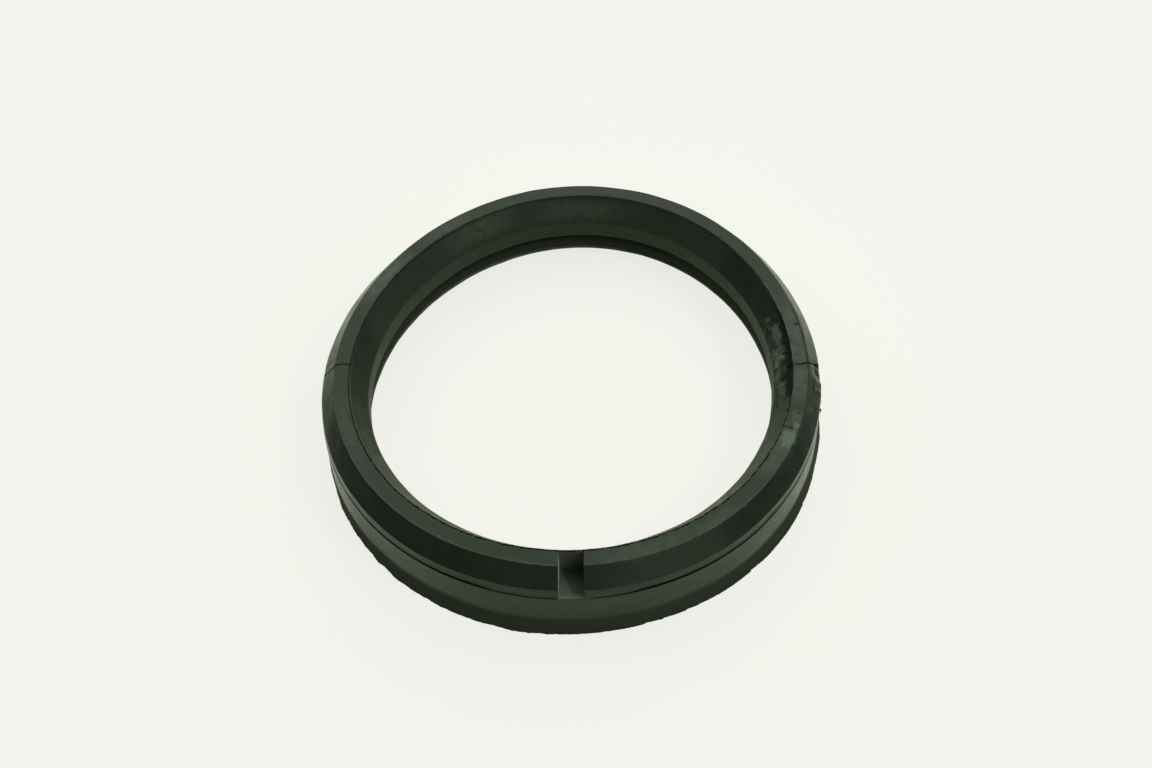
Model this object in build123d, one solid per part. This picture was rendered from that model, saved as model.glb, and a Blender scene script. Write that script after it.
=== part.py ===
from build123d import *
import os

# A moulded rubber seal for a round headlight, lying on its foot with the rim upward.
# One solid: a section turned about Z, with a notch cut through the upper flange at -Y and
# the shallow splice lines where its two moulded halves were joined near +X and -X.
# Origin: the middle of the ring, on the plane that the foot stands on. Millimetres, +Z up.

# Radii, stepped outward from the throat that holds the lamp
throat_radius = 76.8        # cylindrical throat
funnel_flare = 5.7          # from the throat out to the inner edge of the top face
rim_width = 5.7             # flat top face
cone_flare = 5.6            # from the outer edge of the top face to the shoulder
band_draft = 0.6            # from the shoulder to the panel slit
waist_draft = 1.2           # from the panel slit to the foot band
foot_flare = 1.6            # from the top of the foot band to the foot

# Heights, stacked upward from the foot
foot_height = 7.3           # foot band
waist_height = 15.2         # tall wall below the slit
slit_width = 1.0            # sheet thickness that the slit takes
band_height = 4.3           # short wall above the slit
cone_height = 7.5           # outer cone

# Inside, measured down from the top face and up from the foot
funnel_depth = 10.5         # inner cone
throat_length = 7.5         # cylindrical throat and its lip
recess_depth = 2.8          # how far the lamp recess goes in behind the lip
ledge_height = 7.7          # top corner of the ledge below the lamp recess
ledge_step = 0.8            # how far the ledge stands in from the recess
ledge_edge = 0.4            # plain edge under the ledge

# Slit, foot and edges
slit_depth = 4.0            # depth of the panel slit
foot_width = 6.0            # flat ring that the seal stands on
throat_round = 1.2          # blend from the inner cone into the throat
lip_round = 0.4             # lower edge of the throat
foot_round = 1.0            # blend from the tall wall into the foot band

# Notch in the upper flange
notch_width = 8.5           # across the notch
notch_wall = 0.4            # rubber left between the notch and the inner top edge

# Splice lines of the two moulded halves
splice_width = 0.3          # open width of the line
splice_depth = 0.5          # depth below the surface
splice_offset = 3.6         # the halves meet this far in front of the middle

# Radii and heights that follow
funnel_radius = throat_radius + funnel_flare
top_radius = funnel_radius + rim_width
shoulder_radius = top_radius + cone_flare
panel_radius = shoulder_radius + band_draft
waist_radius = panel_radius + waist_draft
foot_radius = waist_radius + foot_flare
recess_radius = throat_radius + recess_depth
ledge_radius = recess_radius - ledge_step

seat_level = foot_height + waist_height
slit_level = seat_level + slit_width
shoulder_level = slit_level + band_height
height = shoulder_level + cone_height
throat_level = height - funnel_depth
lip_level = throat_level - throat_length


def round_corner(face, corner, radius):
    """The face with one of its corners rounded."""
    vertex = face.vertices().sort_by_distance(Vector(*corner, 0))[0]
    return fillet(vertex, radius)


def seal_section():
    """Half section on the XZ plane: down the outside with its slit, under the foot, up the inside."""
    outside = [
        (funnel_radius, height),
        (top_radius, height),
        (shoulder_radius, shoulder_level),
        (panel_radius, slit_level),
        (panel_radius - slit_depth, slit_level),
        (panel_radius - slit_depth, seat_level),
        (panel_radius, seat_level),
        (waist_radius, foot_height),
        (foot_radius, 0),
    ]
    underside = [
        (foot_radius - foot_width, 0),
        (ledge_radius, ledge_height - ledge_edge),
    ]
    inside = [
        (ledge_radius, ledge_height),
        (recess_radius, ledge_height + ledge_step),
        (recess_radius, lip_level),
        (throat_radius, lip_level),
        (throat_radius, throat_level),
    ]
    face = make_face(Polyline(*outside, *underside, *inside, close=True))
    face = round_corner(face, (throat_radius, throat_level), throat_round)
    face = round_corner(face, (throat_radius, lip_level), lip_round)
    face = round_corner(face, (waist_radius, foot_height), foot_round)
    return Plane.XZ * face


def notch_cutter():
    """Block that opens the upper flange from outside, down to the lower face of the slit."""
    back = funnel_radius + notch_wall
    block = Box(notch_width, foot_radius - back, height - seat_level, align=(Align.CENTER, Align.MAX, Align.MIN))
    return Pos(0, -back, seat_level) * block


def outer_skin():
    """Skin of the outside, as deep as a splice line, from the inner top edge to the foot."""
    surface = [
        (funnel_radius, height),
        (top_radius, height),
        (shoulder_radius, shoulder_level),
        (panel_radius, slit_level),
        (waist_radius, foot_height),
        (foot_radius, 0),
    ]
    below = [(radius - splice_depth, level - splice_depth) for radius, level in surface]
    face = make_face(Polyline(*surface, *reversed(below), close=True))
    return revolve(Plane.XZ * face, Axis.Z)


def splice_cutters():
    """Two thin blades through the skin, one for each place where the halves meet."""
    blade = Box(2 * foot_radius, splice_width, height, align=(Align.CENTER, Align.CENTER, Align.MIN))
    return outer_skin() & (Pos(0, -splice_offset, 0) * blade)


seal_ring = revolve(seal_section(), Axis.Z) - notch_cutter() - splice_cutters()

os.makedirs("parts", exist_ok=True)
export_step(seal_ring, "parts/seal_ring.step")
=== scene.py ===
import math

import bpy
import numpy as np
from mathutils import Matrix, Vector


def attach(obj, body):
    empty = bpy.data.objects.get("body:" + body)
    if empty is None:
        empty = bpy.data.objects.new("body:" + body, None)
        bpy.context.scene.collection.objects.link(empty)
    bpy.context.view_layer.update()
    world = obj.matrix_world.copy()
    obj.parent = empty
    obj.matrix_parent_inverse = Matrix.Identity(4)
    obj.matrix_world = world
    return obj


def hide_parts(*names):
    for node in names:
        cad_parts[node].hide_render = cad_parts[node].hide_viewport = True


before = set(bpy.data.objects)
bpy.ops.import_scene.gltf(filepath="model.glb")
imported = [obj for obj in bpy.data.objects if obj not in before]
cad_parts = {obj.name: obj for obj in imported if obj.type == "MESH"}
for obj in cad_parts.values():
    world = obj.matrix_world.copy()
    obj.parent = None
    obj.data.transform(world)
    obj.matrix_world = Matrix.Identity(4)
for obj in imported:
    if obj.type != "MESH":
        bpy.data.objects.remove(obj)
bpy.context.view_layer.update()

# A rubber headlight seal on a pale floor. The CAD ring gives the place and the sizes; this script
# turns the same section again, finely divided, and adds the true ring's faults and wear.
# Lengths are in millimetres until the mesh is made. Angles round the ring are in degrees from +X
# towards +Y. A reach is a distance over the surface from the inner top edge, outward positive.
MM = 0.001
TURN = 2 * math.pi

# Sizes of the section, as in the CAD model
THROAT_RADIUS = 76.8
FUNNEL_FLARE = 5.7
RIM_WIDTH = 5.7
CONE_FLARE = 5.6
BAND_DRAFT = 0.6
WAIST_DRAFT = 1.2
FOOT_FLARE = 1.6
FOOT_HEIGHT = 7.3
WAIST_HEIGHT = 15.2
SLIT_WIDTH = 1.0
BAND_HEIGHT = 4.3
CONE_HEIGHT = 7.5
FUNNEL_DEPTH = 10.5
THROAT_LENGTH = 7.5
RECESS_DEPTH = 2.8
LEDGE_HEIGHT = 7.7
LEDGE_STEP = 0.8
LEDGE_EDGE = 0.4
SLIT_DEPTH = 4.0
FOOT_WIDTH = 6.0
NOTCH_WIDTH = 8.5
NOTCH_WALL = 0.4

FUNNEL_RADIUS = THROAT_RADIUS + FUNNEL_FLARE
TOP_RADIUS = FUNNEL_RADIUS + RIM_WIDTH
SHOULDER_RADIUS = TOP_RADIUS + CONE_FLARE
PANEL_RADIUS = SHOULDER_RADIUS + BAND_DRAFT
WAIST_RADIUS = PANEL_RADIUS + WAIST_DRAFT
FOOT_RADIUS = WAIST_RADIUS + FOOT_FLARE
RECESS_RADIUS = THROAT_RADIUS + RECESS_DEPTH
LEDGE_RADIUS = RECESS_RADIUS - LEDGE_STEP
SEAT_LEVEL = FOOT_HEIGHT + WAIST_HEIGHT
SLIT_LEVEL = SEAT_LEVEL + SLIT_WIDTH
SHOULDER_LEVEL = SLIT_LEVEL + BAND_HEIGHT
HEIGHT = SHOULDER_LEVEL + CONE_HEIGHT
THROAT_LEVEL = HEIGHT - FUNNEL_DEPTH
LIP_LEVEL = THROAT_LEVEL - THROAT_LENGTH

# Roundings of the section's corners
TOP_ROUND = 0.22
SHOULDER_ROUND = 0.35
SLIT_ROUND = 0.12
BEND_ROUND = 0.3
FOOT_ROUND = 0.15
LEDGE_ROUND = 0.15
RECESS_ROUND = 0.2
LIP_ROUND = 0.4
THROAT_ROUND = 1.2

# Torn inner top edge: its places beside and under the corner of the inner cone and the top face
TEAR_INWARD = 0.22
TEAR_DOWN = 0.41
TIP_ASIDE = 0.10            # the flash's tip lies inward by this, the crack behind it outward
TIP_DOWN = 0.10
RIM_OUTWARD = 0.26
TEAR_ROW, TIP_ROW, CRACK_ROW, RIM_ROW = range(4)

# Out of round: the rubber ring lies a little oval and three-lobed, and this much off centre
OVAL_COS = 0.0016           # share of the top radius, two lobes
OVAL_SIN = 0.0130
LOBES_COS = -0.0051         # share of the top radius, three lobes
LOBES_SIN = -0.0085
CENTRE_X = -0.2
CENTRE_Y = -0.72

# Camera: distance and height were fitted to the ring's edges in the photograph
CAMERA_DISTANCE = 441.4     # from the middle of the top face
CAMERA_ELEVATION = 53.05    # degrees above the floor
CAMERA_AZIMUTH = 1.75       # degrees to the right of the notch
CAMERA_TILT = -1.39         # degrees down from the middle of the top face
CAMERA_PAN = -0.15          # degrees
CAMERA_ROLL = 1.69          # degrees
SENSOR = 36.0
LENS = 36.73


def place_camera():
    """Camera at the photograph's place, aimed past the middle of the top face by its tilt and pan."""
    data = bpy.data.cameras.new("camera")
    data.sensor_width = SENSOR
    data.lens = LENS
    data.clip_start = 10 * MM
    camera = bpy.data.objects.new("camera", data)
    bpy.context.collection.objects.link(camera)
    azimuth, elevation = math.radians(CAMERA_AZIMUTH), math.radians(CAMERA_ELEVATION)
    away = Vector((
        math.sin(azimuth) * math.cos(elevation),
        -math.cos(azimuth) * math.cos(elevation),
        math.sin(elevation),
    ))
    right = Vector((math.cos(azimuth), math.sin(azimuth), 0))
    forward = -away
    up = right.cross(forward)
    pan = Matrix.Rotation(math.radians(CAMERA_PAN), 3, up)
    forward, right = pan @ forward, pan @ right
    tilt = Matrix.Rotation(math.radians(CAMERA_TILT), 3, right)
    forward, up = tilt @ forward, tilt @ up
    roll = Matrix.Rotation(math.radians(CAMERA_ROLL), 3, forward)
    right, up = roll @ right, roll @ up
    turn = Matrix((right, up, -forward)).transposed()
    middle = Vector((CENTRE_X, CENTRE_Y, HEIGHT)) * MM
    camera.matrix_world = Matrix.Translation(middle + away * CAMERA_DISTANCE * MM) @ turn.to_4x4()
    bpy.context.scene.camera = camera


def out_of_round(angle):
    """How far the ring stands out from its true circle at an angle."""
    seen = np.radians(angle - CAMERA_AZIMUTH)
    share = OVAL_COS * np.cos(2 * seen) + OVAL_SIN * np.sin(2 * seen)
    share += LOBES_COS * np.cos(3 * seen) + LOBES_SIN * np.sin(3 * seen)
    return TOP_RADIUS * share


# Faults of the real ring follow. A stretch is its start, its end and the blend outside them: of
# angles in degrees, or of reaches in millimetres. A place is a stretch of each.

# Splice lines, where the two moulded halves were joined
LEFT_SPLICE = -177.6
RIGHT_SPLICE = -2.8
SPLICE_HALF = 0.15          # half of a splice line's opening, in degrees
LEFT_SPLICE_DEPTH = 0.5
RIGHT_SPLICE_DEPTH = 0.7
LEFT_GROOVE = (-0.4, 60, 0.3)
RIGHT_GROOVE = (-11, 60, 0.5)
LEFT_ASIDE = 1.5            # how far from the splice the stations turn aside for its line, in degrees
RIGHT_ASIDE_BEFORE = 9.0
RIGHT_ASIDE_AFTER = 14.0
RIGHT_JAG = 0.14            # degrees
# The line of each splice as the turn away from its angle, at some reaches
LEFT_LINE = ((-12, 0.0), (0, 0.05), (2.4, -0.2), (5.6, 0.1), (7.8, 0.15), (15, -0.15), (60, -0.15))
RIGHT_LINE = (
    (-12, 6.9), (-5.9, 5.8), (-1.3, 3.9), (-0.2, -0.5), (1.5, -0.2), (3.9, 0.0), (5.2, 0.35),
    (7.9, 1.0), (10, 1.6), (13.7, 2.7), (19, 3.0), (60, 3.0),
)

# Soft unevenness of the moulded faces
WAVE = 0.07
BROAD_SHARE = 0.7
FINE_SHARE = 0.3

# Torn rubber at the right splice. A size is its plain amount and what a random field adds to it.
GAP_FROM = -0.5             # dark marks inside this reach are dents too
GAP_DEPTH = (0.6, 0.2)
HOLLOW = ((-4.4, -0.6, 0.7), (10.4, 14.6, 1.3))
HOLLOW_DEPTH = (0.4, 0.15)
FLAP_BODY = (-20, -4.2, 0.35)
FLAP_RISE = (-8.0, 0, 2.6)
FLAP_REACHES = (11.5, 19.3, 2.5)
FLAP_HEIGHT = (0.20, 0.06)
FLAKES = ((-12, 16, 5), (-11, -0.9, 1.5))
FLAKE_HEIGHT = 0.10
NUB = ((-10.2, -9.9, 0.25), (18.6, 19.5, 0.5))
NUB_HEIGHT = 0.7
SCUFFS = ((-12.5, 14, 4), (-10.2, -1.2, 1.2))
SCUFF_LEAN = 0.7
SCUFF_CONTRAST = 0.5
SCUFF_REST = 0.10           # fainter streaks than this are neither pale nor dark
PALE_SCUFF_MOST = 0.5
DARK_SCUFF_MOST = 0.62

# Torn flash of the inner top edge: how dark it is at some angles, where it is bold, and its sizes,
# each plainly and with what the bold stretches add
FLASH = (
    (-180, 0.7), (-163, 0.9), (-150, 1.0), (-120, 1.0), (-60, 1.0), (-25, 0.9), (-8, 0.8), (2, 0.4),
    (25, 0.4), (45, 0.6), (90, 0.5), (120, 0.6), (145, 0.9), (180, 0.7),
)
BOLD_FRONT = (-150, -20, 14)
BOLD_REAR = (45, 178, 12)
REAR_SHARE = 0.55
TIP_OUT = (0.03, 0.08)
TIP_UP = (0.02, 0.04)
TIP_BACK = 0.10
RIM_OUT = (0.04, 0.10)
RIM_DOWN = (0.02, 0.03)
CRACK_OUT = 0.05
CRACK_DEPTH = 0.45

# Notch, and the thin wall behind it, which stands a little lower
NOTCH_ANGLE = -90
NEAR_NOTCH = 20             # degrees
NOTCH_DIP = 0.5
DIP_BLEND = 0.35
DIP_REACHES = (-1.2, 1.2, 2.5)

# Slit: its upper lip hangs down beside the notch and stands up on the sides
SLIT_CLOSED = 0.5
SLIT_OPENED = 0.5
LEFT_HANG = (-104.2, -93, 4.0)
LEFT_HANG_WHOLE = -99       # it hangs by its whole amount from here on
LEFT_HANG_SHARE = 0.72      # and by this share of it before
RIGHT_HANG = (-86, -81, 7.0)
CORNER_HANG = (-88, -85.6, 1.0)
CORNER_HANG_SHARE = 0.7
THREAD = (-106.1, -105.9, 0.12)
THREAD_SHARE = 1.7
HANG_WAVE = 0.05
LEFT_OPEN = (-178, -112, 6)
RIGHT_OPEN = (-72, -5, 8)
LIP_REACHES = (19.5, 30, 3.0)
LIP_CLEARANCE = 0.3         # the slit's points above its lower face by this belong to the lip

# Foot: how far its trimmed edge stands out at some angles, and where it is rough
FOOT_EDGE = (
    (-180, -1.4), (-163, -1.35), (-158, -1.0), (-150, -0.6), (-137, -0.35), (-128, -0.1), (-116, 0.1),
    (-101, 0.3), (-96, 0.3), (-88, 0.0), (-74, -0.2), (-62, 0.0), (-48, 0.2), (-33, 0.55), (-24, 0.3),
    (-17, 0.05), (-8, 0.6), (10, 0.3), (60, 0.0), (120, -0.3), (160, -1.0), (180, -1.4),
)
FOOT_EDGE_MOST = 0.75
FOOT_ROUGH = (-172, -97, 6)
# Cuts along it: shortest and longest in degrees, depth and what roughness adds, seed
FOOT_CUTS = ((1.2, 3.0, (0.12, 0.4), 11), (0.5, 1.1, (0.06, 0.16), 12))
FOOT_GRAIN = 0.03
FOOT_RAGGED = 0.10
# Where the trimming knife was set down again on the right front, and the step that it left
KNIFE_STEPS = ((-74.2, 0.30), (-70.2, 0.25), (-65.0, 0.30), (-61.8, 0.22), (-48.0, 0.40), (-27.0, 0.2))
KNIFE_FADE = 4.5            # degrees over which a step runs out

# Marks, most of them near the right splice: angle, reach, half of their extents in degrees and in
# millimetres, strength. The pale ones are smears, with painted highlights on the flap and at the
# notch's left edge.
PALE_MARKS = (
    (2.4, -7.6, 1.3, 3.3, 1.0), (0.6, -9.2, 0.8, 1.6, 0.9), (9.8, -5.6, 3.2, 2.2, 0.62),
    (14.5, -7.5, 1.6, 1.8, 0.5), (5.2, -8.4, 1.4, 2.4, 0.6), (-7.6, -7.5, 1.6, 2.6, 0.6),
    (-10.6, -5.4, 1.6, 1.8, 0.5), (-3.2, -9.8, 1.0, 1.6, 0.6), (-26.2, 3.3, 2.8, 2.7, 0.62),
    (-30.6, 2.0, 1.3, 1.5, 0.35), (-22.4, 4.4, 1.3, 0.8, 0.6), (-4.4, 12.3, 0.95, 1.6, 0.95),
    (-5.9, 10.9, 0.5, 0.9, 0.6), (-8.6, 11.2, 0.35, 0.6, 0.8), (-15.0, 9.4, 0.8, 1.0, 0.4),
    (-17.0, 12.4, 1.2, 0.7, 0.4), (-93.0, 1.2, 0.2, 1.5, 0.8),
)
# Soft pale zones on the top face and at the back of the inner cone: pale dust near the right splice,
# painted highlights elsewhere on the top face
SOFT_MARKS = (
    (6.0, 3.4, 9.0, 2.4, 0.35), (-8.0, 2.8, 4.6, 2.4, 0.35), (-20.0, 3.6, 2.2, 1.6, 0.35),
    (-26.2, 3.0, 4.0, 3.0, 0.4), (-33.5, 2.6, 3.5, 2.0, 0.3), (152.0, 3.4, 7.0, 2.4, 0.45),
    (128.0, 3.0, 6.0, 2.0, 0.2), (-72.0, 3.0, 9.0, 2.4, 0.22), (-158.0, 2.6, 7.0, 1.6, 0.2),
    (-55.0, 3.6, 5.0, 1.6, 0.2), (88.0, -6.0, 9.0, 3.0, 0.25), (120.0, -5.0, 8.0, 3.5, 0.3),
)
# Dark marks: those inside the inner top edge lie in dents and are partly painted shade in them; the others
# are dark smears
DARK_MARKS = (
    (6.0, -1.2, 8.5, 0.85, 1.0), (-2.2, -2.6, 2.0, 1.2, 1.0), (-8.0, -1.2, 4.6, 0.7, 0.9),
    (-4.8, -5.8, 1.2, 1.5, 0.7), (6.0, -3.0, 0.9, 0.8, 0.6), (-9.4, -9.4, 1.0, 0.8, 0.55),
    (-12.4, -2.4, 1.4, 0.6, 0.5), (12.5, -3.2, 1.8, 0.7, 0.5), (9.6, 4.2, 0.25, 0.8, 0.9),
    (-17.6, 2.9, 0.35, 3.2, 0.56), (-22.6, 2.6, 0.45, 2.6, 0.6), (-2.6, 12.2, 0.9, 1.4, 0.9),
    (-7.0, -3.2, 5.0, 1.7, 0.72), (5.5, -2.6, 6.0, 0.9, 0.7),
)
WANDER = 0.4                # how far the pale marks' outlines wander, in degrees
STRAY = 0.35                # and in millimetres of reach

# How dark the torn edges are, and the painted shade in the slit, at its edges, in the recess and
# under the throat's lip. The tear is dashed at the left front, and at the back too on its first two
# rows, which are paler elsewhere: plainly, and with what the back adds.
DASH_PALER = 0.35
REAR_DASH_PALER = 0.25
UNDASHED = (-105, 180, 10)
TEAR_DARK = (0.1, 0.5)
TIP_DARK = (0.6, 0.4)
LIP_EDGE_DARK = 0.4
WAIST_EDGE_DARK = 0.5
GROOVE_DARK = 4             # per millimetre of a splice line's depth
TOP_EDGE_REACH = 5.5
TOP_LINE = (-2.2, 15, 3)
TOP_LINE_HALF = 0.25
TOP_LINE_DARK = 0.6
BESIDE_LINE = 1.2           # halves of a splice line's opening
LEFT_TOP_DARK = 0.4         # beside the left line on the top face, where below it is 1
RIGHT_LINE_REACHES = (1.4, 14.5, 0.5)
RIGHT_LINE_DARK = 0.8
RECESS_SHADE_FROM = 9.0     # the painted shade in the recess darkens upward from this level
RECESS_SHADE_OVER = 6.0     # over this height
HIDDEN_DARK = 0.9           # at most, and so does the painted shade on the underside of the throat's lip

# Painted highlights where edges catch the light: on the rim near the right splice and on the top face's outer
# edge
PALE_RIM = (-1, 24, 6)
PALE_RIM_SHARE = 0.8
RIGHT_BRIGHT_EDGE = (-84, -52, 8)
FRONT_BRIGHT_EDGE = (-172, -25, 6)
FRONT_BRIGHT_SHARE = 0.7
FIRST_ARC_SHARE = 0.3       # on the first row of the top edge's rounding

# How matt each part of the section is, and the stretches of the inner cone that get painted shade
MATT_PARTS = {"foot": 1.0, "under": 1.0, "lip": 1.0, "recess": 0.5, "throat": 0.3, "ledge": 0.3}
SHADE_LEFT = (174, 202, 10)
SHADE_RIGHT = (13, 36, 8)


def fine_angles():
    """Angles of the stations round the ring, closer together at the two splices."""
    limits = (
        LEFT_SPLICE,
        LEFT_SPLICE + SPLICE_HALF,
        LEFT_SPLICE + LEFT_ASIDE,
        RIGHT_SPLICE - RIGHT_ASIDE_BEFORE,
        RIGHT_SPLICE - SPLICE_HALF,
        RIGHT_SPLICE,
        RIGHT_SPLICE + SPLICE_HALF,
        RIGHT_SPLICE + RIGHT_ASIDE_AFTER,
        LEFT_SPLICE + 360 - LEFT_ASIDE,
        LEFT_SPLICE + 360 - SPLICE_HALF,
        LEFT_SPLICE + 360,
    )
    counts = (1, 9, 490, 50, 1, 1, 80, 450, 9, 1)
    stretches = zip(limits, limits[1:], counts)
    return np.concatenate([np.linspace(start, end, count, endpoint=False) for start, end, count in stretches])


def from_angle(angle, centre):
    """Turn from a centre angle to each angle, between -180 and 180 degrees."""
    return (angle - centre + 180) % 360 - 180


def between(value, start, end, blend):
    """1 from start to end, running out to 0 over the blend outside them."""
    share = np.clip(np.minimum((value - start) / blend, (end - value) / blend) + 1, 0, 1)
    return share * share * (3 - 2 * share)


def zone(angle, reach, place):
    """1 in a place, given by its stretch of angles and its stretch of reaches, and 0 away from it."""
    angles, reaches = place
    return between(angle, *angles) * between(reach, *reaches)


def sized(size, field):
    """A size given as its plain amount and what a field adds to it."""
    plain, added = size
    return plain + added * field


def ripple(angle, low, high, slope, seed):
    """Random wave round the ring of root mean square 1, with low to high waves in a turn."""
    source = np.random.default_rng(seed)
    turn, total, power = np.radians(angle), np.zeros_like(angle), 0.0
    for waves in range(low, high + 1):
        height = waves ** -slope
        total += height * np.cos(waves * turn + source.uniform(0, TURN))
        power += height * height / 2
    return total / math.sqrt(power)


def facets(angle, shortest, longest, seed):
    """Straight cuts of random length, in degrees, that meet at random depths from 0 to 1."""
    source = np.random.default_rng(seed)
    knots = [-180.0]
    while knots[-1] < 180 - longest:
        knots.append(knots[-1] + source.uniform(shortest, longest))
    knots.append(180.0)
    depths = source.uniform(0, 1, len(knots))
    depths[-1] = depths[0]
    return np.interp(from_angle(angle, 0), knots, depths)


def patches(across, along, size, seed, waves=24):
    """Random patches of about a size in millimetres over the surface, of root mean square 1."""
    source = np.random.default_rng(seed)
    total = np.zeros(np.broadcast(across, along).shape)
    for _ in range(waves):
        turn, length = source.uniform(0, TURN), size * source.uniform(0.6, 1.7)
        phase = source.uniform(0, TURN)
        total += np.cos(TURN / length * (across * math.cos(turn) + along * math.sin(turn)) + phase)
    return total / math.sqrt(waves / 2)


def marks(angle, reach, places):
    """Soft fields round some marks, whole within 0.7 of their half extents and gone beyond 1.7 of them."""
    total = np.zeros(np.broadcast(angle, reach).shape)
    for at_angle, at_reach, half_angle, half_reach, strength in places:
        far = (from_angle(angle, at_angle) / half_angle) ** 4 + ((reach - at_reach) / half_reach) ** 4
        total = np.maximum(total, strength * np.clip(1.7 - far ** 0.25, 0, 1))
    return total


def foot_edge(angle):
    """How far the trimmed outer edge of the foot stands out."""
    edge = np.interp(angle, *zip(*FOOT_EDGE))
    rough = between(angle, *FOOT_ROUGH)
    for shortest, longest, depth, seed in FOOT_CUTS:
        edge -= sized(depth, rough) * (facets(angle, shortest, longest, seed) - 0.5)
    for place, step in KNIFE_STEPS:
        past = angle - place
        edge -= step * np.where(past >= 0, np.clip(1 - past / KNIFE_FADE, 0, 1), 0)
    edge += FOOT_GRAIN * ripple(angle, low=120, high=420, slope=0.3, seed=13)
    return np.minimum(edge, FOOT_EDGE_MOST)


def corner_points(before, corner, after, radius, steps):
    """The corner alone, or the points of an arc that rounds it."""
    if radius <= 0:
        return [corner]
    corner, before, after = np.array(corner), np.array(before), np.array(after)
    back = (before - corner) / np.linalg.norm(before - corner)
    ahead = (after - corner) / np.linalg.norm(after - corner)
    half = math.acos(np.clip(back @ ahead, -1, 1)) / 2
    reach = radius / math.tan(half)
    centre = corner + (back + ahead) / np.linalg.norm(back + ahead) * radius / math.sin(half)
    start, end = corner + back * reach - centre, corner + ahead * reach - centre
    sweep = math.pi - 2 * half
    share = np.linspace(0, 1, steps + 1)[:, None]
    swept = start * np.sin((1 - share) * sweep) + end * np.sin(share * sweep)
    return list(centre + swept / math.sin(sweep))


def section():
    """Points of the section, from the torn inner top edge outward, and the stretch that each is on.

    A corner has a name for the stretch that starts at it, its rounding and the facets of that, and
    the divisions of its stretch.
    """
    slit_root = PANEL_RADIUS - SLIT_DEPTH
    corners = [
        ("tear", FUNNEL_RADIUS - TEAR_INWARD, HEIGHT - TEAR_DOWN, 0, 0, 1),
        ("tear", FUNNEL_RADIUS - TIP_ASIDE, HEIGHT - TIP_DOWN, 0, 0, 1),
        ("tear", FUNNEL_RADIUS + TIP_ASIDE, HEIGHT - TIP_DOWN, 0, 0, 1),
        ("top", FUNNEL_RADIUS + RIM_OUTWARD, HEIGHT, 0, 0, 7),
        ("cone", TOP_RADIUS, HEIGHT, TOP_ROUND, 2, 7),
        ("band", SHOULDER_RADIUS, SHOULDER_LEVEL, SHOULDER_ROUND, 2, 3),
        ("slit", PANEL_RADIUS, SLIT_LEVEL, SLIT_ROUND, 2, 1),
        ("slit", slit_root, SLIT_LEVEL, 0, 0, 1),
        ("slit", slit_root, SEAT_LEVEL, 0, 0, 1),
        ("waist", PANEL_RADIUS, SEAT_LEVEL, SLIT_ROUND, 2, 5),
        ("foot", WAIST_RADIUS, FOOT_HEIGHT, BEND_ROUND, 2, 4),
        ("under", FOOT_RADIUS, 0, FOOT_ROUND, 1, 2),
        ("under", FOOT_RADIUS - FOOT_WIDTH, 0, BEND_ROUND, 1, 2),
        ("ledge", LEDGE_RADIUS, LEDGE_HEIGHT - LEDGE_EDGE, 0, 0, 1),
        ("ledge", LEDGE_RADIUS, LEDGE_HEIGHT, LEDGE_ROUND, 1, 1),
        ("recess", RECESS_RADIUS, LEDGE_HEIGHT + LEDGE_STEP, RECESS_ROUND, 1, 3),
        ("lip", RECESS_RADIUS, LIP_LEVEL, RECESS_ROUND, 1, 1),
        ("throat", THROAT_RADIUS, LIP_LEVEL, LIP_ROUND, 2, 3),
        ("funnel", THROAT_RADIUS, THROAT_LEVEL, THROAT_ROUND, 4, 13),
    ]
    points, names = [], []
    for index, (name, radius, level, rounding, steps, divisions) in enumerate(corners):
        before, after = corners[index - 1], corners[(index + 1) % len(corners)]
        arc = corner_points(before[1:3], (radius, level), after[1:3], rounding, steps)
        points += [tuple(p) for p in arc]
        names += [name] * len(arc)
        following = corners[(index + 2) % len(corners)]
        meeting = corner_points((radius, level), after[1:3], following[1:3], after[3], max(after[4], 1))
        start, end = np.array(points[-1]), np.array(meeting[0])
        for part in range(1, divisions):
            points.append(tuple(start + (end - start) * part / divisions))
            names.append(name)
    return np.array(points), np.array(names)


def surface_reach(points, names):
    """Reach of each point of the section.

    The slit counts as nothing, so the waist goes on where the band ends.
    """
    steps = np.linalg.norm(np.diff(points, axis=0, append=points[:1]), axis=1)
    inside = np.isin(names, ("ledge", "recess", "lip", "throat", "funnel", "tear"))
    along = np.where(names == "slit", 0, steps)
    first = int(np.argmax(names == "top"))
    outward = np.concatenate([[0], np.cumsum(along)[:-1]])
    outward -= outward[first]
    inward = outward - along.sum()
    inward[:first] = outward[:first]
    return np.where(inside, inward, outward)


def outward_normals(points):
    """Outward directions of the section at its points."""
    ahead = np.roll(points, -1, axis=0) - points
    back = points - np.roll(points, 1, axis=0)
    along = ahead / np.linalg.norm(ahead, axis=1)[:, None] + back / np.linalg.norm(back, axis=1)[:, None]
    along /= np.linalg.norm(along, axis=1)[:, None]
    return np.stack([-along[:, 1], along[:, 0]], axis=1)


def splice_turn(station, reach):
    """How far the stations near the two splices turn aside, so that a station follows each line."""
    source = np.random.default_rng(21)
    jagged = source.uniform(-RIGHT_JAG, RIGHT_JAG, len(reach)) * (reach > -4) * (reach < 16)
    left = np.interp(reach, *zip(*LEFT_LINE))[:, None]
    right = (np.interp(reach, *zip(*RIGHT_LINE)) + jagged)[:, None]
    off_left = np.abs(from_angle(station, LEFT_SPLICE))[None, :]
    off_right = from_angle(station, RIGHT_SPLICE)[None, :]
    near_left = np.clip((LEFT_ASIDE - off_left) / (LEFT_ASIDE - SPLICE_HALF), 0, 1)
    before = (off_right + RIGHT_ASIDE_BEFORE) / (RIGHT_ASIDE_BEFORE - SPLICE_HALF)
    after = (RIGHT_ASIDE_AFTER - off_right) / (RIGHT_ASIDE_AFTER - SPLICE_HALF)
    near_right = np.clip(np.minimum(before, after), 0, 1)
    return left * near_left + right * near_right


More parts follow.
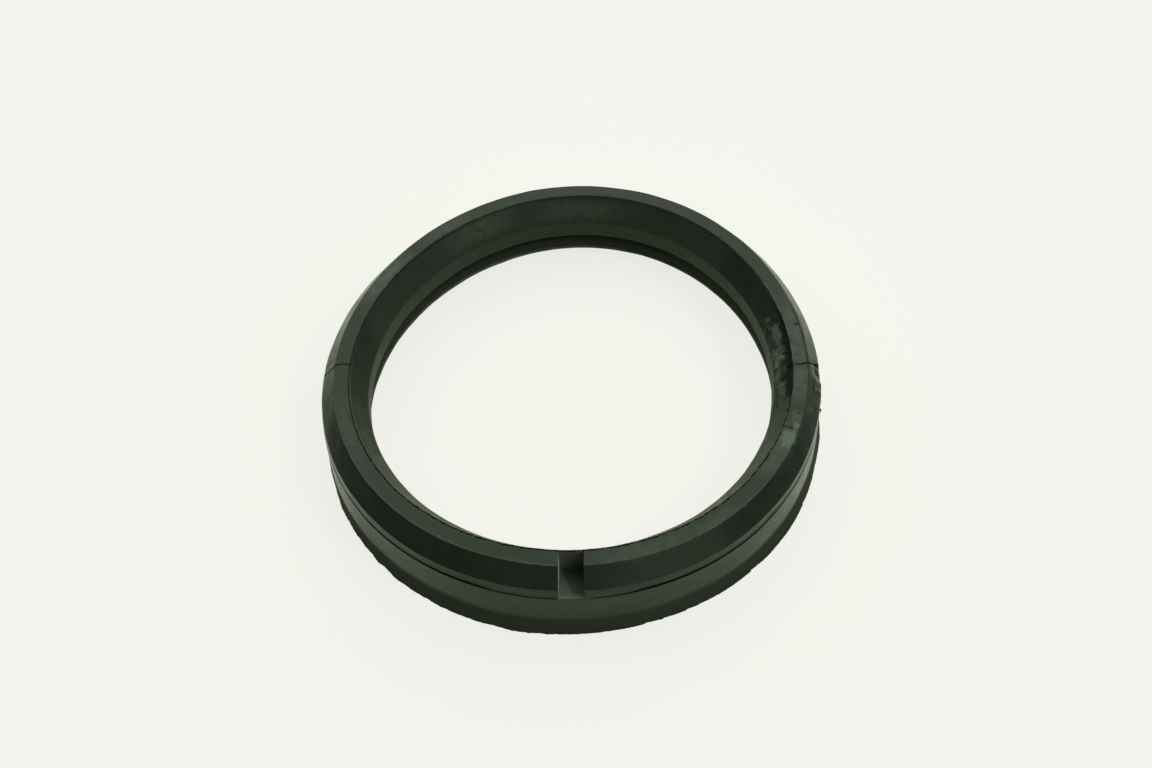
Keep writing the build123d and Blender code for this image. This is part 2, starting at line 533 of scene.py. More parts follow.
class Ring:
    """The section at all stations: a row for each of its points and a column for each station."""

    def __init__(self):
        points, self.names = section()
        reach, normals = surface_reach(points, self.names), outward_normals(points)
        self.station = fine_angles()
        self.angle = from_angle(self.station[None, :] + splice_turn(self.station, reach), 0)
        self.radius = points[:, :1] + np.zeros_like(self.angle)
        self.level = points[:, 1:] + np.zeros_like(self.angle)
        self.radial, self.rising = normals[:, :1], normals[:, 1:]
        self.reach = reach[:, None]
        self.across = np.radians(self.angle) * TOP_RADIUS
        self.outer = (self.reach >= 0) & ~self.on("slit", "under")
        self.flash = np.interp(self.angle, *zip(*FLASH))
        self.rear = between(self.angle % 360, *BOLD_REAR)
        self.groove = self.splice_grooves()

    def on(self, *names):
        """The rows on some stretches of the section."""
        return np.isin(self.names, names)[:, None]

    def row(self, index):
        """One row alone."""
        return np.arange(len(self.names))[:, None] == index

    def beside(self, splice, halves):
        """The stations within some halves of a splice line's opening from its middle."""
        return np.abs(from_angle(self.station, splice)) < halves * SPLICE_HALF

    def splice_grooves(self):
        """Depth of the two splice lines, which are the middle station of each."""
        groove = np.zeros_like(self.angle)
        groove[:, self.beside(LEFT_SPLICE, 0.5)] = LEFT_SPLICE_DEPTH * between(self.reach, *LEFT_GROOVE)
        groove[:, self.beside(RIGHT_SPLICE, 0.5)] = RIGHT_SPLICE_DEPTH * between(self.reach, *RIGHT_GROOVE)
        return groove * ~self.on("under", "slit", "ledge", "recess")


def raise_faces(ring):
    """Soft unevenness, the splice lines, and the torn rubber at the right splice: gap, hollow and flap."""
    angle, reach, across = ring.angle, ring.reach, ring.across
    swell = WAVE * BROAD_SHARE * patches(across, reach * 2.5, size=34, seed=31)
    swell += WAVE * FINE_SHARE * patches(across, reach * 1.5, size=11, seed=32)
    swell = swell * ~ring.on("under", "slit") - WAVE * ring.on("top")
    rough = patches(across, reach, size=2.6, seed=33)
    gap = marks(angle, reach, DARK_MARKS) * (reach < GAP_FROM) * sized(GAP_DEPTH, rough)
    hollow = zone(angle, reach, HOLLOW) * sized(HOLLOW_DEPTH, rough)
    flap = between(angle, *FLAP_BODY) * between(angle, *FLAP_RISE) * between(reach, *FLAP_REACHES)
    flap *= sized(FLAP_HEIGHT, rough)
    flakes = zone(angle, reach, FLAKES) * FLAKE_HEIGHT * patches(across, reach, size=4.5, seed=34)
    nub = NUB_HEIGHT * zone(angle, reach, NUB) * ring.outer
    lifted = swell - ring.groove - np.clip(gap, 0, 1) - np.clip(hollow, 0, 1)
    lifted = lifted + np.clip(flap, 0, 1) + flakes + nub
    ring.radius += ring.radial * lifted
    ring.level += ring.rising * lifted


def tear_edge(ring):
    """Ragged flash round the inner top edge, with a crack behind it."""
    bold = np.maximum(between(ring.angle, *BOLD_FRONT), REAR_SHARE * ring.rear)
    ragged = ripple(ring.angle, low=60, high=560, slope=0.45, seed=41) * 0.5
    ragged += (facets(ring.angle, 0.5, 2.4, seed=42) - 0.5) * 2.0
    edge = ripple(ring.angle, low=40, high=560, slope=0.5, seed=43)
    tip, crack, rim = (ring.row(index) for index in (TIP_ROW, CRACK_ROW, RIM_ROW))
    ring.radius += tip * (sized(TIP_OUT, bold) * ragged - TIP_BACK * bold)
    ring.radius += rim * sized(RIM_OUT, bold) * edge + crack * CRACK_OUT * bold * ragged
    ring.level += tip * sized(TIP_UP, bold) * ragged - rim * sized(RIM_DOWN, bold) * np.abs(edge)
    ring.level -= crack * CRACK_DEPTH * ring.flash


def dip_wall(ring):
    """Lowers the thin wall that is left behind the notch."""
    front = np.abs(ring.angle - NOTCH_ANGLE) < NEAR_NOTCH
    sideways = CENTRE_X + (ring.radius + out_of_round(ring.angle)) * np.cos(np.radians(ring.angle))
    half = NOTCH_WIDTH / 2 - DIP_BLEND
    behind = between(sideways, -half, half, DIP_BLEND) * front
    ring.level -= NOTCH_DIP * behind * between(ring.reach, *DIP_REACHES)


def hang_lip(ring):
    """Lets the slit's upper lip hang down beside the notch and stand up on the sides."""
    angle = ring.angle
    left = between(angle, *LEFT_HANG) * np.where(angle > LEFT_HANG_WHOLE, 1.0, LEFT_HANG_SHARE)
    right = between(angle, *RIGHT_HANG) + CORNER_HANG_SHARE * between(angle, *CORNER_HANG)
    thread = THREAD_SHARE * between(angle, *THREAD)
    hang = SLIT_CLOSED * np.maximum(np.maximum(left, right), thread)
    hang += HANG_WAVE * ripple(angle, low=8, high=70, slope=0.6, seed=44)
    hang -= SLIT_OPENED * np.maximum(between(angle, *LEFT_OPEN), between(angle, *RIGHT_OPEN))
    outward = np.clip((ring.radius - PANEL_RADIUS + SLIT_DEPTH) / SLIT_DEPTH, 0, 1)
    in_slit = outward * (ring.level > SEAT_LEVEL + LIP_CLEARANCE) * ring.on("slit")
    ring.level -= hang * (in_slit + between(ring.reach, *LIP_REACHES) * ring.on("band"))


def trim_foot(ring):
    """Trimmed, faceted outer edge of the foot."""
    near_edge = ring.on("foot") | (ring.on("under") & (ring.radius > FOOT_RADIUS - 1))
    low = np.clip(1 - ring.level / FOOT_HEIGHT, 0, 1) * near_edge
    ring.radius += foot_edge(ring.angle) * low ** 1.5
    ring.level += FOOT_RAGGED * facets(ring.angle, 0.8, 2.6, seed=45) * (ring.on("foot") & (low > 0.9))


def torn_and_shade_field(ring):
    """How dark each point is: torn rubber and splice lines, and painted shade in the slit, the recess, under
    the throat's lip and in the crack.
    """
    angle, reach = ring.angle, ring.reach
    dashes = np.where(facets(angle, 0.35, 1.3, seed=46) > 0.4, 1.0, DASH_PALER)
    torn_and_shade = ring.on("tear") * ring.flash * np.maximum(dashes, between(angle, *UNDASHED))
    rear_dashes = ring.rear * np.where(facets(angle, 0.4, 1.8, seed=47) > 0.35, 1.0, REAR_DASH_PALER)
    torn_and_shade[TEAR_ROW] *= sized(TEAR_DARK, rear_dashes[TEAR_ROW])
    torn_and_shade[TIP_ROW] *= sized(TIP_DARK, rear_dashes[TIP_ROW])
    # Painted shade in the slit and at its two edges
    slit = np.flatnonzero(ring.names == "slit")
    torn_and_shade[slit] = 1.0
    torn_and_shade[slit[0]] = LIP_EDGE_DARK
    torn_and_shade[slit[-1] + 1] = 1.0
    torn_and_shade[slit[-1] + 2] = WAIST_EDGE_DARK

    on_top_edge = np.abs(reach - TOP_EDGE_REACH) < TOP_LINE_HALF
    beside_left = ring.beside(LEFT_SPLICE, BESIDE_LINE) * ring.outer
    beside_right = ring.beside(RIGHT_SPLICE, BESIDE_LINE) * ring.outer
    fields = (
        np.clip(GROOVE_DARK * ring.groove, 0, 1),
        TOP_LINE_DARK * between(angle, *TOP_LINE) * ring.on("cone") * on_top_edge,
        beside_left * np.where(reach > TOP_EDGE_REACH, 1.0, LEFT_TOP_DARK),
        RIGHT_LINE_DARK * beside_right * between(reach, *RIGHT_LINE_REACHES),
        np.clip((ring.level - RECESS_SHADE_FROM) / RECESS_SHADE_OVER, 0, HIDDEN_DARK) * ring.on("recess"),
        HIDDEN_DARK * ring.on("lip"),
    )
    for field in fields:
        torn_and_shade = np.maximum(torn_and_shade, field)
    return torn_and_shade


def smear_and_light_fields(ring):
    """Pale and dark smears and soft pale zones, with painted highlights on edges and the ledge and painted
    shade in dents.
    """
    angle, reach, across = ring.angle, ring.reach, ring.across
    wander = WANDER * patches(across, reach, size=5.0, seed=35)
    stray = STRAY * patches(across, reach, size=5.0, seed=37)
    pale, soft = (marks(angle + wander, reach + stray, places) for places in (PALE_MARKS, SOFT_MARKS))
    dark = marks(angle, reach, DARK_MARKS)
    scuffed = zone(angle, reach, SCUFFS)
    streak = SCUFF_CONTRAST * patches(across + SCUFF_LEAN * reach, reach, size=6.0, seed=36)
    pale = np.maximum(pale, scuffed * np.clip(streak - SCUFF_REST, 0, PALE_SCUFF_MOST))
    dark = np.maximum(dark, scuffed * np.clip(-streak - SCUFF_REST, 0, DARK_SCUFF_MOST))
    # Painted highlight on the rim near the right splice
    pale = np.maximum(pale, PALE_RIM_SHARE * between(angle, *PALE_RIM) * ring.row(RIM_ROW))
    # Painted highlights along the top face's outer edge
    bright = FRONT_BRIGHT_SHARE * between(angle, *FRONT_BRIGHT_EDGE)
    bright = np.maximum(bright, between(angle, *RIGHT_BRIGHT_EDGE))
    arc = int(np.argmax(ring.names == "cone"))
    soft[arc] = np.maximum(soft[arc], FIRST_ARC_SHARE * bright[arc])
    soft[arc + 1] = np.maximum(soft[arc + 1], bright[arc + 1])
    # Painted light on the ledge's face
    soft = np.maximum(soft, ring.on("ledge"))
    return pale, dark, soft


def surface_fields(ring):
    """What the material reads at each point, by the name of its attribute."""
    pale, dark, soft = smear_and_light_fields(ring)
    everywhere = np.zeros_like(ring.angle)
    shade = np.maximum(between(ring.angle % 360, *SHADE_LEFT), between(ring.angle, *SHADE_RIGHT))
    return {
        "torn_and_shade": torn_and_shade_field(ring),
        "matt": everywhere + sum(share * ring.on(name) for name, share in MATT_PARTS.items()),
        "pale": pale,
        "dark": dark,
        "soft": soft,
        "inner": everywhere + ring.on("funnel"),
        "shade": shade * ring.on("funnel"),
    }


def ring_mesh(ring):
    """Closed mesh through the ring's points, with its fields as attributes."""
    radius = ring.radius + out_of_round(ring.angle)
    x = CENTRE_X + radius * np.cos(np.radians(ring.angle))
    y = CENTRE_Y + radius * np.sin(np.radians(ring.angle))
    vertices = np.stack([x, y, np.clip(ring.level, 0, HEIGHT)], axis=2).reshape(-1, 3) * MM
    rows, columns = ring.angle.shape
    row, column = np.meshgrid(np.arange(rows), np.arange(columns), indexing="ij")
    next_row, next_column = (row + 1) % rows, (column + 1) % columns
    quads = np.stack([
        row * columns + column,
        next_row * columns + column,
        next_row * columns + next_column,
        row * columns + next_column,
    ], axis=2).reshape(-1, 4)
    mesh = bpy.data.meshes.new("seal")
    mesh.from_pydata(vertices.tolist(), [], quads.tolist())
    for label, values in surface_fields(ring).items():
        layer = mesh.attributes.new(label, "FLOAT", "POINT")
        layer.data.foreach_set("value", np.ascontiguousarray(values, dtype=np.float32).reshape(-1))
    mesh.validate()
    mesh.update()
    return mesh


def build_ring():
    """The seal without its notch, with its faults."""
    ring = Ring()
    raise_faces(ring)
    tear_edge(ring)
    dip_wall(ring)
    hang_lip(ring)
    trim_foot(ring)
    seal = bpy.data.objects.new("seal", ring_mesh(ring))
    bpy.context.collection.objects.link(seal)
    return seal


# Faces that the notch's cutter made: how near they lie to its planes, and what their attribute says
CUT_SLACK = 0.05
CUT_ON_PLANE = 0.02
CUT_WIDER = 1.3             # the flared corners reach this far beside the notch
CUT_SIDE_WITHIN = 0.6
LEFT_WALL_CUT = 2.0
SEAT_CUT = 1.0
WALL_CUT = 0.9


def mark_cut_faces(mesh, back):
    """Notes which faces the notch's cutter made, as an attribute."""
    count = len(mesh.polygons)
    centre, normal = np.empty(3 * count), np.empty(3 * count)
    mesh.polygons.foreach_get("center", centre)
    mesh.polygons.foreach_get("normal", normal)
    x, y, z = centre.reshape(-1, 3).T / MM
    across, front, up = np.abs(normal.reshape(-1, 3).T)
    near = (np.abs(x) < NOTCH_WIDTH / 2 + CUT_WIDER) & (y < -back + CUT_SLACK) & (z > SEAT_LEVEL - CUT_SLACK)
    floor = (up > 0.99) & (np.abs(z - SEAT_LEVEL) < CUT_ON_PLANE)
    rear = (front > 0.99) & (np.abs(y + back) < CUT_ON_PLANE)
    side = (across > 0.9) & (np.abs(x) > NOTCH_WIDTH / 2 - CUT_SIDE_WITHIN)
    kinds = [side & (x < 0), floor, rear | side]
    share = near * np.select(kinds, [LEFT_WALL_CUT, SEAT_CUT, WALL_CUT], 0.0)
    layer = mesh.attributes.new("cut", "FLOAT", "FACE")
    layer.data.foreach_set("value", share.astype(np.float32))


def apply_modifiers(piece):
    """Makes the piece's modifiers permanent."""
    graph = bpy.context.evaluated_depsgraph_get()
    mesh = bpy.data.meshes.new_from_object(piece.evaluated_get(graph))
    piece.modifiers.clear()
    piece.data = mesh


def notch_back():
    """Distance of the notch's back wall in front of the origin."""
    return FUNNEL_RADIUS + NOTCH_WALL - CENTRE_Y + out_of_round(np.array([float(NOTCH_ANGLE)]))[0]


def notch_cutter():
    """Block that opens the notch. Its lower front corners flare, as the rubber is torn out there."""
    back = notch_back()
    front = FOOT_RADIUS + 5
    half, top = NOTCH_WIDTH / 2, HEIGHT + 5
    spread_out = (front - back) / (PANEL_RADIUS - back)
    # Sideways, level, and how much further sideways it opens where it leaves the ring
    outline = (
        (-half + 0.05, SEAT_LEVEL, -0.5),
        (-half + 0.05, SEAT_LEVEL + 1.4, -0.15),
        (-half + 0.05, top, -0.15),
        (half, top, 0.0),
        (half, SEAT_LEVEL + 5.8, 0.0),
        (half, SEAT_LEVEL + 1.6, 0.5),
        (half, SEAT_LEVEL, 1.1),
    )
    rear = [(x, -back, z) for x, z, flare in outline]
    fore = [(x + flare * spread_out, -front, z) for x, z, flare in outline]
    count = len(outline)
    faces = [tuple(range(count)), tuple(range(2 * count - 1, count - 1, -1))]
    for index in range(count):
        following = (index + 1) % count
        faces.append((index, index + count, following + count))
        faces.append((index, following + count, following))
    mesh = bpy.data.meshes.new("notch_cutter")
    mesh.from_pydata([tuple(c * MM for c in corner) for corner in rear + fore], [], faces)
    cutter = bpy.data.objects.new("notch_cutter", mesh)
    bpy.context.collection.objects.link(cutter)
    return cutter


def cut_notch(seal):
    """Opens the upper flange at the front, down to the lower face of the slit."""
    cutter = notch_cutter()
    cut = seal.modifiers.new("notch", "BOOLEAN")
    cut.operation = "DIFFERENCE"
    cut.solver = "EXACT"
    cut.object = cutter
    apply_modifiers(seal)
    bpy.data.objects.remove(cutter)
    mark_cut_faces(seal.data, notch_back())


def number(tree, operation, *values, clamp=False):
    """Math node. Each value is a number or an output socket."""
    node = tree.nodes.new("ShaderNodeMath")
    node.operation = operation
    node.use_clamp = clamp
    for index, value in enumerate(values):
        if isinstance(value, bpy.types.NodeSocket):
            tree.links.new(value, node.inputs[index])
        else:
            node.inputs[index].default_value = value
    return node.outputs[0]


def noise(tree, place, size, detail=3.0, roughness=0.5, distortion=0.0):
    """Noise whose features are about a size in millimetres."""
    node = tree.nodes.new("ShaderNodeTexNoise")
    tree.links.new(place, node.inputs["Vector"])
    node.inputs["Scale"].default_value = 1 / (size * MM)
    node.inputs["Detail"].default_value = detail
    node.inputs["Roughness"].default_value = roughness
    node.inputs["Distortion"].default_value = distortion
    return node.outputs["Fac"]


def spread(tree, value, low, high, to_low=0.0, to_high=1.0):
    """The value stretched from low..high to a new range, and held inside it."""
    node = tree.nodes.new("ShaderNodeMapRange")
    tree.links.new(value, node.inputs["Value"])
    for entry, limit in zip(("From Min", "From Max", "To Min", "To Max"), (low, high, to_low, to_high)):
        node.inputs[entry].default_value = limit
    return node.outputs["Result"]


def blend(tree, share, first, second):
    """Mixed colour. Each is a colour or an output socket."""
    node = tree.nodes.new("ShaderNodeMix")
    node.data_type = "RGBA"
    tree.links.new(share, node.inputs["Factor"])
    for entry, colour in (("A", first), ("B", second)):
        socket = next(s for s in node.inputs if s.name == entry and s.type == "RGBA")
        if isinstance(colour, bpy.types.NodeSocket):
            tree.links.new(colour, socket)
        else:
            socket.default_value = (*colour, 1)
    return next(s for s in node.outputs if s.type == "RGBA")


def surface_value(tree, label):
    """Output of one of the mesh's attributes."""
    node = tree.nodes.new("ShaderNodeAttribute")
    node.attribute_name = label
    return node.outputs["Fac"]


GREEN_RUBBER = (0.0125, 0.0172, 0.0103)
GREY_RUBBER = (0.0170, 0.0175, 0.0168)
INNER_GREEN = (0.0150, 0.0245, 0.0140)
INNER_GREY = (0.0220, 0.0240, 0.0210)
MATT_RUBBER = (0.0165, 0.0210, 0.0145)
LIT_FOOT_RUBBER = (0.0225, 0.0270, 0.0200)
SHADED_RUBBER = (0.0030, 0.0065, 0.0034)
TORN_AND_SHADED_RUBBER = (0.0012, 0.0016, 0.0011)
CUT_RUBBER = (0.115, 0.134, 0.101)
CUT_EDGE_HIGHLIGHT = (0.32, 0.36, 0.28)
PALE_SMEAR_AND_HIGHLIGHT = (0.085, 0.105, 0.085)
DARK_SMEAR_AND_SHADE = (0.0030, 0.0042, 0.0028)
DUST = (0.16, 0.17, 0.15)

# How much of each colour shows where its attribute is whole
INNER_SHARE = 0.85
SHADE_SHARE = 0.75
MATT_SHARE = 0.85
STRIP_SHARE = 0.10          # of the painted edge highlight's colour, along the front of the notch's seat

GLOSS = 0.25
GLOSS_TINT = (0.60, 0.82, 0.54)
FOOT_FADE = (35, 85)        # X over which the painted light on the foot runs out towards the right
CUT_FADE = (-4.5, 3.5)      # X over which painted shade darkens the cut rubber towards the notch's right wall
STRIP = (1.7, 1.2)          # behind the seat's front edge, where that strip starts and is whole
DUST_SPACING = 4
RAGGED_EDGE = 1.6           # how much the flaky noise frays the outlines of smears
# Heights of the bump, in millimetres
GRAIN_HEIGHT = 0.0011
MOTTLE_HEIGHT = 0.025
FLAKE_BUMP = 0.25


def ragged_share(tree, amount, ragged, whole):
    """A mark's share of the colour, with ragged edges, from the attribute of it: smears, painted highlights
    and painted shade.
    """
    edge = spread(tree, ragged, 0.42, 0.56)
    return number(tree, "MULTIPLY", edge, spread(tree, amount, 0.0, whole))


def dust_specks(tree, place):
    """Fine specks, in a few cells only."""
    cells = tree.nodes.new("ShaderNodeTexVoronoi")
    tree.links.new(place, cells.inputs["Vector"])
    cells.inputs["Scale"].default_value = 1 / (DUST_SPACING * MM)
    chosen = tree.nodes.new("ShaderNodeSeparateColor")
    tree.links.new(cells.outputs["Color"], chosen.inputs[0])
    few = number(tree, "GREATER_THAN", chosen.outputs[0], 0.86)
    return number(tree, "MULTIPLY", few, spread(tree, cells.outputs["Distance"], 0.03, 0.08, 0.8, 0.0))


def cut_colour(tree, colour, cut, mottle, sides):
    """The colour with the freshly cut rubber of the notch: dull, with painted shade to the right and painted
    highlights on its left wall and seat edge.
    """
    uneven = spread(tree, mottle, 0.3, 0.7, to_low=0.7)
    # Painted shade: the cut rubber darkens towards the right, where the notch's right wall shades it
    darker = spread(tree, sides.outputs["X"], CUT_FADE[0] * MM, CUT_FADE[1] * MM, 1.0, 0.45)
    uneven = number(tree, "MULTIPLY", uneven, darker)
    colour = blend(tree, number(tree, "MULTIPLY", cut, uneven, clamp=True), colour, CUT_RUBBER)
    front = -notch_back() - (PANEL_RADIUS - FUNNEL_RADIUS - NOTCH_WALL)
    # Painted highlight on the notch's left wall and along the front of its seat
    strip = spread(tree, sides.outputs["Y"], (front + STRIP[0]) * MM, (front + STRIP[1]) * MM)
    strip = number(tree, "MULTIPLY", strip, number(tree, "GREATER_THAN", cut, 0.5))
    left_wall = number(tree, "GREATER_THAN", cut, 1.5)
    edge = number(tree, "MAXIMUM", number(tree, "MULTIPLY", strip, STRIP_SHARE), left_wall)
    return blend(tree, edge, colour, CUT_EDGE_HIGHLIGHT)


def rubber_material():
    """Black rubber with a green cast: dull on the foot and where it is torn, smeared at the right splice,
    with painted light and shade in its colour.
    """
    material = bpy.data.materials.new("rubber")
    material.use_nodes = True
    tree = material.node_tree
    shader = tree.nodes["Principled BSDF"]
    shader.inputs["Specular IOR Level"].default_value = GLOSS
    shader.inputs["Specular Tint"].default_value = (*GLOSS_TINT, 1)
    place = tree.nodes.new("ShaderNodeTexCoord").outputs["Object"]
    sides = tree.nodes.new("ShaderNodeSeparateXYZ")
    tree.links.new(place, sides.inputs[0])
    torn_and_shade, matt, cut, inner = (surface_value(tree, label) for label in ("torn_and_shade", "matt", "cut", "inner"))
    pale, dark, soft = (surface_value(tree, label) for label in ("pale", "dark", "soft"))
    shade = surface_value(tree, "shade")

    uncut = number(tree, "SUBTRACT", 1.0, cut, clamp=True)
    torn_and_shade = number(tree, "MULTIPLY", torn_and_shade, uncut)
    cast = noise(tree, place, size=24, roughness=0.6)
    clouds = noise(tree, place, size=15)
    mottle = noise(tree, place, size=6, detail=2.0)
    grain = noise(tree, place, size=0.5, roughness=0.6)
    flake = noise(tree, place, size=3.6, detail=4.0, roughness=0.6, distortion=0.4)
    ragged = number(tree, "MULTIPLY", number(tree, "SUBTRACT", flake, 0.5), RAGGED_EDGE)
    pale = ragged_share(tree, pale, number(tree, "ADD", pale, ragged), whole=0.9)
    dark = ragged_share(tree, dark, number(tree, "SUBTRACT", dark, ragged), whole=0.8)

    colour = blend(tree, spread(tree, cast, 0.38, 0.62), GREEN_RUBBER, GREY_RUBBER)
    inside = blend(tree, spread(tree, clouds, 0.40, 0.60), INNER_GREEN, INNER_GREY)
    colour = blend(tree, number(tree, "MULTIPLY", inner, INNER_SHARE), colour, inside)
    colour = blend(tree, number(tree, "MULTIPLY", shade, SHADE_SHARE), colour, SHADED_RUBBER)
    colour = blend(tree, spread(tree, mottle, 0.35, 0.65, to_high=0.4), colour, MATT_RUBBER)
    colour = blend(tree, number(tree, "MULTIPLY", matt, MATT_SHARE), colour, MATT_RUBBER)
    # Painted light: the foot is lighter at the front and left, and darker to the right where it lies in shade
    foot = spread(tree, matt, 0.6, 1.0, to_high=0.9)
    faded = spread(tree, sides.outputs["X"], FOOT_FADE[0] * MM, FOOT_FADE[1] * MM, 1.0, 0.0)
    colour = blend(tree, number(tree, "MULTIPLY", foot, faded), colour, LIT_FOOT_RUBBER)
    # Soft pale zones and pale smears, with painted highlights on edges, the ledge, the rim, the flap and the
    # notch's left edge
    soft = number(tree, "MULTIPLY", soft, spread(tree, flake, 0.35, 0.6, to_low=0.4))
    colour = blend(tree, soft, colour, PALE_SMEAR_AND_HIGHLIGHT)
    colour = blend(tree, pale, colour, PALE_SMEAR_AND_HIGHLIGHT)
    # Dark smears, and painted shade in the dents under the inner top edge
    colour = blend(tree, dark, colour, DARK_SMEAR_AND_SHADE)
    colour = cut_colour(tree, colour, cut, mottle, sides)
    colour = blend(tree, dust_specks(tree, place), colour, DUST)
    # Torn rubber and splice lines, with painted shade in the slit, the recess, under the throat's lip and in
    # the crack
    colour = blend(tree, torn_and_shade, colour, TORN_AND_SHADED_RUBBER)
    tree.links.new(colour, shader.inputs["Base Color"])

    rough = spread(tree, mottle, 0.3, 0.7, 0.24, 0.33)
    changes = ((matt, 0.55), (pale, 0.12), (dark, 0.35), (torn_and_shade, 0.5), (cut, 0.35), (inner, 0.22))
    for share, change in changes:
        rough = number(tree, "ADD", rough, number(tree, "MULTIPLY", share, change), clamp=True)
    tree.links.new(rough, shader.inputs["Roughness"])

    height = number(tree, "MULTIPLY", grain, GRAIN_HEIGHT)
    height = number(tree, "ADD", height, number(tree, "MULTIPLY", mottle, MOTTLE_HEIGHT))
    marked = number(tree, "MAXIMUM", number(tree, "MAXIMUM", pale, dark), torn_and_shade)
    flaked = number(tree, "MULTIPLY", number(tree, "MULTIPLY", flake, marked), FLAKE_BUMP)
    height = number(tree, "ADD", height, flaked)
    bump = tree.nodes.new("ShaderNodeBump")
    bump.inputs["Distance"].default_value = MM
    tree.links.new(height, bump.inputs["Height"])
    tree.links.new(bump.outputs["Normal"], shader.inputs["Normal"])
    return material


FLOOR_COLOUR = (0.913, 0.900, 0.866)    # the even ground, as the camera sees it
GLOSS_COLOUR = (0.86, 0.92, 0.76)       # and as shiny and clear surfaces see it
LIT_COLOUR = (0.80, 0.90, 0.67)         # the floor itself, which keeps the shadow
EVEN_TO_CAMERA = 0.88       # share of the even ground that the camera sees
EVEN_TO_GLOSS = 0.06        # and that shiny and clear surfaces see
EVEN_AT_SIDES = 0.80        # and that they see close to the ring on its left and right, where the floor glows as painted reflection on the ring's sides
SIDES = (84, 104)           # distances sideways where those sides start and where they are whole
CLOSE = (120, 134)          # distances from the middle where they start to end and where they end
FLOOR_FADE = (125, 220)     # and where the floor starts to fade and has faded into the room's ground
FLOOR_SIZE = 600


def floor_material():
    """Pale floor that keeps the object's shadow, and shows as an even pale ground."""
    material = bpy.data.materials.new("floor")
    material.use_nodes = True
    tree = material.node_tree
    tree.nodes.clear()
    output = tree.nodes.new("ShaderNodeOutputMaterial")
    lit = tree.nodes.new("ShaderNodeBsdfDiffuse")
    lit.inputs["Color"].default_value = (*LIT_COLOUR, 1)
    even = tree.nodes.new("ShaderNodeEmission")
    path = tree.nodes.new("ShaderNodeLightPath")
    to_eye = path.outputs["Is Camera Ray"]
    tree.links.new(blend(tree, to_eye, GLOSS_COLOUR, FLOOR_COLOUR), even.inputs["Color"])
    place = tree.nodes.new("ShaderNodeTexCoord")
    distance = tree.nodes.new("ShaderNodeVectorMath")
    distance.operation = "LENGTH"
    tree.links.new(place.outputs["Object"], distance.inputs[0])
    parts = tree.nodes.new("ShaderNodeSeparateXYZ")
    tree.links.new(place.outputs["Object"], parts.inputs[0])

    sideways = number(tree, "ABSOLUTE", parts.outputs["X"])
    beside = spread(tree, sideways, SIDES[0] * MM, SIDES[1] * MM, EVEN_TO_GLOSS, EVEN_AT_SIDES)
    close = spread(tree, distance.outputs["Value"], CLOSE[0] * MM, CLOSE[1] * MM, 1.0, 0.0)
    beside = number(tree, "MAXIMUM", number(tree, "MULTIPLY", beside, close), EVEN_TO_GLOSS)
    mirrored, through = path.outputs["Is Glossy Ray"], path.outputs["Is Transmission Ray"]
    gloss = number(tree, "ADD", mirrored, through, clamp=True)
    to_gloss = number(tree, "MULTIPLY", gloss, beside)
    to_camera = number(tree, "MULTIPLY", to_eye, EVEN_TO_CAMERA)
    surface = tree.nodes.new("ShaderNodeMixShader")
    tree.links.new(number(tree, "MAXIMUM", to_camera, to_gloss), surface.inputs[0])
    tree.links.new(lit.outputs[0], surface.inputs[1])
    tree.links.new(even.outputs[0], surface.inputs[2])
    clear = tree.nodes.new("ShaderNodeBsdfTransparent")
    faded = tree.nodes.new("ShaderNodeMixShader")
    share = spread(tree, distance.outputs["Value"], FLOOR_FADE[0] * MM, FLOOR_FADE[1] * MM)
    tree.links.new(share, faded.inputs[0])
    tree.links.new(surface.outputs[0], faded.inputs[1])
    tree.links.new(clear.outputs[0], faded.inputs[2])
    tree.links.new(faded.outputs[0], output.inputs["Surface"])
    return material


def add_floor():
    """Floor under the foot."""
    bpy.ops.mesh.primitive_plane_add(size=FLOOR_SIZE * MM, location=(0, 0, 0))
    floor = bpy.context.object
    floor.name = "floor"
    floor.data.materials.append(floor_material())


# Soft boxes facing the ring: name, azimuth and elevation in degrees, then distance, width and
# height in metres, and radiance
SOFT_BOXES = (
    ("overhead", 90, 56, 0.8, 1.2, 0.95, 1.95),
    ("key", -31, 53, 1.2, 0.22, 0.22, 26.0),
    ("left", 172, 50, 1.1, 0.6, 0.5, 1.5),
    ("right", 12, 50, 1.1, 0.6, 0.5, 1.0),
    ("window", -55, 12, 1.4, 1.0, 0.7, 1.0),
    ("front", -100, 18, 1.4, 1.3, 0.6, 0.25),
)
ROOM_COLOUR = (0.74, 0.83, 0.68)
ROOM_STRENGTH = 0.18


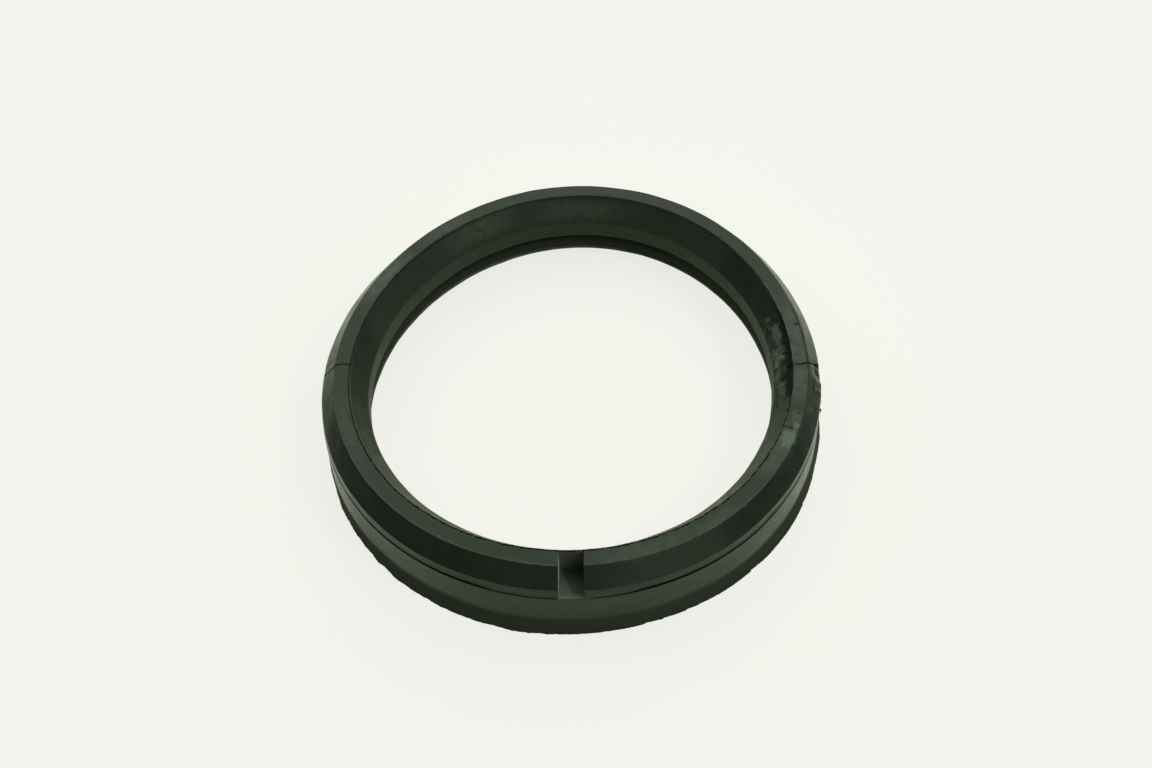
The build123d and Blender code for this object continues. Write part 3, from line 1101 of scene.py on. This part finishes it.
def soft_box(name, azimuth, elevation, distance, width, height, radiance):
    """One soft box, facing the origin."""
    data = bpy.data.lights.new(name, "AREA")
    data.shape = "RECTANGLE"
    data.size, data.size_y = width, height
    data.energy = radiance * math.pi * width * height
    box = bpy.data.objects.new(name, data)
    bpy.context.collection.objects.link(box)
    turn, rise = math.radians(azimuth), math.radians(elevation)
    away = Vector((math.cos(turn) * math.cos(rise), math.sin(turn) * math.cos(rise), math.sin(rise)))
    box.location = away * distance
    box.rotation_mode = "QUATERNION"
    box.rotation_quaternion = (-away).to_track_quat("-Z", "Y")


def add_light():
    """Soft boxes above, behind, on both sides and in front, and a dim room with an even pale ground."""
    for box in SOFT_BOXES:
        soft_box(*box)
    world = bpy.data.worlds.new("room")
    bpy.context.scene.world = world
    world.use_nodes = True
    tree = world.node_tree
    tree.nodes.clear()
    output = tree.nodes.new("ShaderNodeOutputWorld")
    room = tree.nodes.new("ShaderNodeBackground")
    room.inputs["Color"].default_value = (*ROOM_COLOUR, 1)
    room.inputs["Strength"].default_value = ROOM_STRENGTH
    ground = tree.nodes.new("ShaderNodeBackground")
    ground.inputs["Color"].default_value = (*FLOOR_COLOUR, 1)
    path = tree.nodes.new("ShaderNodeLightPath")
    mix = tree.nodes.new("ShaderNodeMixShader")
    tree.links.new(path.outputs["Is Camera Ray"], mix.inputs[0])
    tree.links.new(room.outputs[0], mix.inputs[1])
    tree.links.new(ground.outputs[0], mix.inputs[2])
    tree.links.new(mix.outputs[0], output.inputs["Surface"])


SHARP_ANGLE = 35            # edges with more degrees than this between their faces stay sharp

place_camera()
seal = build_ring()
cut_notch(seal)
seal.data.shade_smooth()
seal.data.set_sharp_from_angle(angle=math.radians(SHARP_ANGLE))
flatten = seal.modifiers.new("flat_faces", "WEIGHTED_NORMAL")
flatten.keep_sharp = True
seal.data.materials.clear()
seal.data.materials.append(rubber_material())
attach(seal, "root")
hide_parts("seal_ring")
add_floor()
add_light()
bpy.context.scene.view_settings.view_transform = "Standard"
